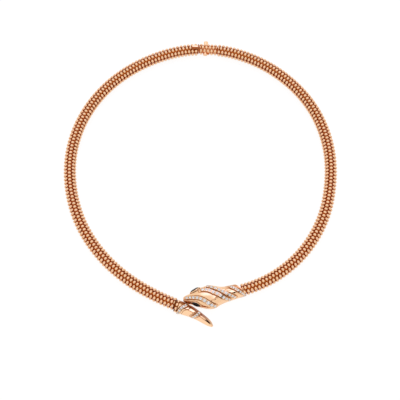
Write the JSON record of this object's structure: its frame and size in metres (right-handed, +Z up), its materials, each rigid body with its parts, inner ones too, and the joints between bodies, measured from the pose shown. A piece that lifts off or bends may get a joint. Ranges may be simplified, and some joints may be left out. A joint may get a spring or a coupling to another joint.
{
  "type": "necklace",
  "caption": "Collar necklace shaped like a snake: a round rope of beads with a jewelled head lying beside the pointed tail in front, and a push-button clasp at the back.",
  "frame": {"origin": "on the surface that the necklace lies on, in the middle of its loop, where the neck goes through", "axes": "+Z up from the surface, -Y from the middle of the loop towards the snake's head, +Y towards the clasp"},
  "size_m": [0.1381, 0.1554, 0.0075],
  "materials": {
    "rose_gold": "polished",
    "clear_stone": "cut and polished",
    "black_stone": "cut and polished"
  },
  "bodies": {
    "necklace": {"chain_right": "rose_gold", "chain_left": "rose_gold", "head_body": "rose_gold", "tail_body": "rose_gold", "joining_pin": "rose_gold", "setting_snout": "rose_gold", "setting_brow": "rose_gold", "setting_nape": "rose_gold", "setting_collar": "rose_gold", "setting_tail_collar": "rose_gold", "setting_tail_band": "rose_gold", "eye_rim_outer": "rose_gold", "eye_rim_inner": "rose_gold", "clasp_case": "rose_gold", "clasp_tongue": "rose_gold", "clasp_plate": "rose_gold", "stone_snout_1": "clear_stone", "stone_snout_2": "clear_stone", "stone_snout_3": "clear_stone", "stone_snout_4": "clear_stone", "stone_snout_5": "clear_stone", "stone_snout_6": "clear_stone", "stone_snout_7": "clear_stone", "stone_snout_8": "clear_stone", "stone_snout_9": "clear_stone", "stone_brow_1": "clear_stone", "stone_brow_2": "clear_stone", "stone_brow_3": "clear_stone", "stone_brow_4": "clear_stone", "stone_brow_5": "clear_stone", "stone_brow_6": "clear_stone", "stone_brow_7": "clear_stone", "stone_brow_8": "clear_stone", "stone_brow_9": "clear_stone", "stone_nape_1": "clear_stone", "stone_nape_2": "clear_stone", "stone_nape_3": "clear_stone", "stone_nape_4": "clear_stone", "stone_nape_5": "clear_stone", "stone_nape_6": "clear_stone", "stone_nape_7": "clear_stone", "stone_nape_8": "clear_stone", "stone_nape_9": "clear_stone", "stones_collar": "clear_stone", "stones_tail_collar": "clear_stone", "stones_tail_band": "clear_stone", "eye_outer": "black_stone", "eye_inner": "black_stone"},
    "outer_button": {"button_outer": "rose_gold"},
    "inner_button": {"button_inner": "rose_gold"}
  },
  "joints": [
    {"name": "outer_button_press", "type": "slide", "parent": "necklace", "child": "outer_button", "axis": [-0.0637, -0.998, 0], "range_m": [0, 0.0005], "stiffness_N_per_m": 200, "springref_m": -0.0005},
    {"name": "inner_button_press", "type": "slide", "parent": "necklace", "child": "inner_button", "axis": [0.0637, 0.998, 0], "range_m": [0, 0.0004], "stiffness_N_per_m": 200, "springref_m": -0.0005}
  ]
}
